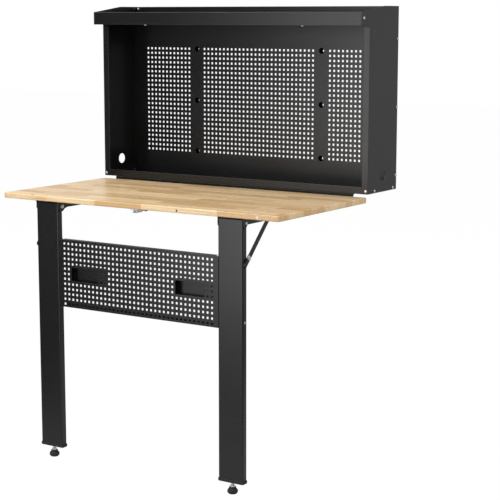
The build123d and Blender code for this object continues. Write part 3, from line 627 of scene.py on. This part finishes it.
def finishFor(nodeName, slotName):
    if slotName == "wood":
        return finishes["wood"]
    if nodeName in footParts:
        return finishes["footRubber"]
    if slotName == "black_plastic":
        return finishes["capPlastic"]
    if nodeName in plateParts:
        return finishes["zinc"]
    if slotName == "zinc_plated_steel":
        return finishes["screwZinc"]
    if nodeName == "fascia":
        return finishes["hemmedCoat"]
    if nodeName in hingeLeaves:
        return finishes["hingeCoat"]
    return finishes["cabinetCoat"] if nodeName in cabinetSheets else finishes["legCoat"]


def dressNodes():
    slotNames = {part["node"]: part["material_slot"] for part in frame["record"]["subparts"]}
    for name, node in frame["nodes"].items():
        material = finishFor(name, slotNames[name])
        if not node.material_slots:
            node.data.materials.append(material)
        for materialSlot in node.material_slots:
            materialSlot.material = material


# Pieces that are finer than the frame's solids

def newPiece(name, mesh, material, body):
    data = bpy.data.meshes.new(name)
    mesh.to_mesh(data)
    mesh.free()
    data.materials.append(material)
    for face in data.polygons:
        face.use_smooth = True
    piece = bpy.data.objects.new(name, data)
    bpy.context.collection.objects.link(piece)
    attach(piece, body)
    return piece


def skinRings(mesh, rings):
    # closed skin over rings of equally many points, capped at both ends
    for lower, upper in zip(rings, rings[1:]):
        count = len(lower)
        for step in range(count):
            after = (step + 1) % count
            mesh.faces.new((lower[step], lower[after], upper[after], upper[step]))
    mesh.faces.new(list(reversed(rings[0])))
    mesh.faces.new(rings[-1])


footThread = {
    "pitch": 0.0015,
    "depth": 0.0009,
    "crest": 0.8,                         # below 1 the crests are sharper than the roots
    "turnSteps": 40,
    "stepsPerPitch": 6,
    "tip": 0.0015,
}


def threadedStud(side):
    # The levelling foot's stud, with its thread cut as a helix
    low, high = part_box("foot_stud_" + side)
    centre = (low + high) / 2
    outer = (high.x - low.x) / 2
    length = high.z - low.z
    levels = int(length / footThread["pitch"] * footThread["stepsPerPitch"])
    mesh = bmesh.new()
    rings = []
    for level in range(levels + 1):
        rise = length * level / levels
        taper = max(0.0, footThread["tip"] - (length - rise))
        ring = []
        for step in range(footThread["turnSteps"]):
            turn = step / footThread["turnSteps"]
            phase = (rise / footThread["pitch"] - turn) % 1.0
            groove = footThread["depth"] * (1 - abs(2 * phase - 1)) ** footThread["crest"]
            radius = outer - groove - taper
            angle = 2 * math.pi * turn
            x = centre.x + radius * math.cos(angle)
            y = centre.y + radius * math.sin(angle)
            ring.append(mesh.verts.new((x, y, low.z + rise)))
        rings.append(ring)
    skinRings(mesh, rings)
    piece = newPiece("threaded_stud_" + side, mesh, finishes["screwZinc"],
                     "levelling_foot_" + side)
    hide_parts("foot_stud_" + side)


edgeFillers = {
    # pale filler over a knot, and the dark mark of a small one, both in the front edge
    "pale": {"x": 0.514, "rise": 0.0085, "radius": 0.0055, "proud": 0.00025,
             "colour": (0.72, 0.66, 0.56, 1)},
    "dark": {"x": 0.188, "rise": 0.0085, "radius": 0.0042, "proud": 0.00015,
             "colour": (0.075, 0.045, 0.03, 1)},
}

fillerShape = {
    "steps": 32,
    "let": 0.0012,                        # how deep a filler is let into the edge
    "crown": [(1.0, 0.3), (0.8, 0.8), (0.4, 1.0)],        # shares of the radius and of proud
    "wobble": (0.05, 0.03),               # the outline's uneven lobes, three and five round it
}

fillerFinish = {
    "peelSize": 1.5,
    "gritSize": 0.4,
    "gritShare": 0.5,
    "darker": 0.7,
    "gloss": (0.2, 1.0, 0.45, 0.6),
    "bump": (0.3, 0.0002),
}


def makeFillerFinish(name, colour):
    material, tree, shader = newMaterial(name)
    place = objectPlace(tree)
    grain = useGroup(tree, groups["coatGrain"], Place=place, PeelSize=fillerFinish["peelSize"],
                     GritSize=fillerFinish["gritSize"], GritShare=fillerFinish["gritShare"])
    darker = tuple(part * fillerFinish["darker"] for part in colour[:3]) + (1,)
    plug(tree, mixColour(tree, grain["Height"], darker, colour), shader.inputs["Base Color"])
    gloss = between(tree, grain["Height"], *fillerFinish["gloss"])
    plug(tree, gloss, shader.inputs["Roughness"])
    setBump(tree, shader, grain["Height"], *fillerFinish["bump"])
    return material


def edgeFiller(name, spec):
    # A slightly crowned disc let into the front edge of the worktop
    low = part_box("worktop")[0]
    mesh = bmesh.new()
    profile = [(1.0, -fillerShape["let"])]
    profile += [(share, spec["proud"] * crown) for share, crown in fillerShape["crown"]]
    threeLobes, fiveLobes = fillerShape["wobble"]
    rings = []
    for share, proud in profile:
        ring = []
        for step in range(fillerShape["steps"]):
            angle = 2 * math.pi * step / fillerShape["steps"]
            wobble = 1 + threeLobes * math.sin(3 * angle) + fiveLobes * math.cos(5 * angle)
            radius = spec["radius"] * share * wobble
            x = spec["x"] + radius * math.cos(angle)
            z = low.z + spec["rise"] + radius * math.sin(angle)
            ring.append(mesh.verts.new((x, low.y - proud, z)))
        rings.append(ring)
    skinRings(mesh, rings)
    bmesh.ops.recalc_face_normals(mesh, faces=mesh.faces)
    material = makeFillerFinish(name + "FillerFinish", spec["colour"])
    newPiece("edge_filler_" + name, mesh, material, "folding_top")


# Studio

stageSetup = {
    "floorDrop": 0.0005,
    "floorSize": 40.0,
    "floorColour": (0.50, 0.50, 0.495, 1),
    "floorRoughness": 0.9,
    "floorGlow": 0.88,                    # how much of the floor is plain white
    "glowStrength": 1.09,
    # painted light: the floor's glow as reflections see it, with a painted pool of light round the
    # feet
    "floorMirror": (0.10, 0.50),          # the floor in reflections: in front, far back and aside
    "asideRange": (0.8, 3.2),             # metres to the side and back between those two
    "backRange": (0.0, 2.5),
    "feetGlow": 0.42,                     # added to that close round the feet
    "feetShift": (-0.2, 0.4, 0.0),
    "feetRange": (2.2, 0.7),              # metres from the feet: no glow, full glow
    "skyFill": 0.55,                      # world light that falls on the object
    "skyMirror": 0.50,                    # the same world in reflections
    "roomColour": (0.03, 0.03, 0.032, 1), # the dark side of the studio
    "skyLean": 0.6,                       # the dark side is narrower high up
    "skyRange": (-0.75, 0.05),
}


def seenThrough(tree, rays):
    # 1 for what the camera sees, also through a transparent surface
    return calc(tree, "MAXIMUM", rays["Is Camera Ray"], rays["Is Transmission Ray"])


def paintedFloorReflection(tree):
    # painted light: in reflections the floor glows, bright only far back on both sides as though
    # the paper were lit there, and in a painted pool of light near the feet
    place = objectPlace(tree)
    axes = splitAxes(tree, place)
    aside = between(tree, calc(tree, "ABSOLUTE", axes["X"]), *stageSetup["asideRange"])
    back = between(tree, axes["Y"], *stageSetup["backRange"])
    dim, bright = stageSetup["floorMirror"]
    lit = calc(tree, "MULTIPLY", calc(tree, "MULTIPLY", aside, back), bright - dim)
    away = addNode(tree, "ShaderNodeVectorMath", operation="LENGTH")
    plug(tree, stretch(tree, place, (1.0, 1.0, 1.0), stageSetup["feetShift"]), away.inputs[0])
    close = between(tree, away.outputs["Value"], *stageSetup["feetRange"], 0.0,
                    stageSetup["feetGlow"])
    mirrored = addNode(tree, "ShaderNodeEmission")
    plug(tree, calc(tree, "ADD", calc(tree, "ADD", dim, lit), close), mirrored.inputs["Strength"])
    return mirrored.outputs[0]


def makeFloor():
    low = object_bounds()[0]
    reach = stageSetup["floorSize"] / 2
    mesh = bmesh.new()
    corners = ((-reach, -reach), (reach, -reach), (reach, reach), (-reach, reach))
    mesh.faces.new([mesh.verts.new((x, y, 0)) for x, y in corners])
    data = bpy.data.meshes.new("floor")
    mesh.to_mesh(data)
    mesh.free()
    floor = bpy.data.objects.new("floor", data)
    floor.location.z = low.z - stageSetup["floorDrop"]
    bpy.context.collection.objects.link(floor)
    material, tree, shader = newMaterial("floorPaper")
    plug(tree, stageSetup["floorColour"], shader.inputs["Base Color"])
    plug(tree, stageSetup["floorRoughness"], shader.inputs["Roughness"])
    plug(tree, 0.0, shader.inputs["Specular IOR Level"])
    glow = addNode(tree, "ShaderNodeEmission")
    plug(tree, stageSetup["glowStrength"], glow.inputs["Strength"])
    rays = addNode(tree, "ShaderNodeLightPath").outputs
    paper = addNode(tree, "ShaderNodeMixShader")
    white = calc(tree, "MULTIPLY", seenThrough(tree, rays), stageSetup["floorGlow"])
    plug(tree, white, paper.inputs[0])
    plug(tree, shader.outputs[0], paper.inputs[1])
    plug(tree, glow.outputs[0], paper.inputs[2])
    # glossy rays see the floor's painted glow instead of the lit paper
    choice = addNode(tree, "ShaderNodeMixShader")
    plug(tree, rays["Is Glossy Ray"], choice.inputs[0])
    plug(tree, paper.outputs[0], choice.inputs[1])
    plug(tree, paintedFloorReflection(tree), choice.inputs[2])
    plug(tree, choice.outputs[0], tree.nodes["Material Output"].inputs["Surface"])
    data.materials.append(material)


def makeWorld():
    world = bpy.data.worlds.new("studio")
    world.use_nodes = True
    tree = world.node_tree
    back = tree.nodes["Background"]
    axes = splitAxes(tree, addNode(tree, "ShaderNodeTexCoord").outputs["Generated"])
    # white where it is looked at, and otherwise dark on the side that the bench faces
    lean = calc(tree, "ADD", axes["Y"], calc(tree, "MULTIPLY", axes["Z"], stageSetup["skyLean"]))
    behind = between(tree, lean, *stageSetup["skyRange"])
    rays = addNode(tree, "ShaderNodeLightPath").outputs
    seen = seenThrough(tree, rays)
    pale = calc(tree, "MAXIMUM", behind, seen)
    plug(tree, mixColour(tree, pale, stageSetup["roomColour"], (1, 1, 1, 1)), back.inputs["Color"])
    fill = stageSetup["skyFill"]
    shown = calc(tree, "MULTIPLY", seen, 1 - fill)
    mirrored = calc(tree, "MULTIPLY", rays["Is Glossy Ray"], stageSetup["skyMirror"] - fill)
    strength = calc(tree, "ADD", fill, calc(tree, "ADD", shown, mirrored))
    plug(tree, strength, back.inputs["Strength"])
    bpy.context.scene.world = world


makeCamera()
makeLights()
makeFloor()
makeWorld()
bpy.context.scene.view_settings.view_transform = "Standard"
print("studio ready")

dressNodes()
print("nodes dressed:", len(frame["nodes"]))

for side in ("left", "right"):
    threadedStud(side)
for name, spec in edgeFillers.items():
    edgeFiller(name, spec)
print("fine pieces added")
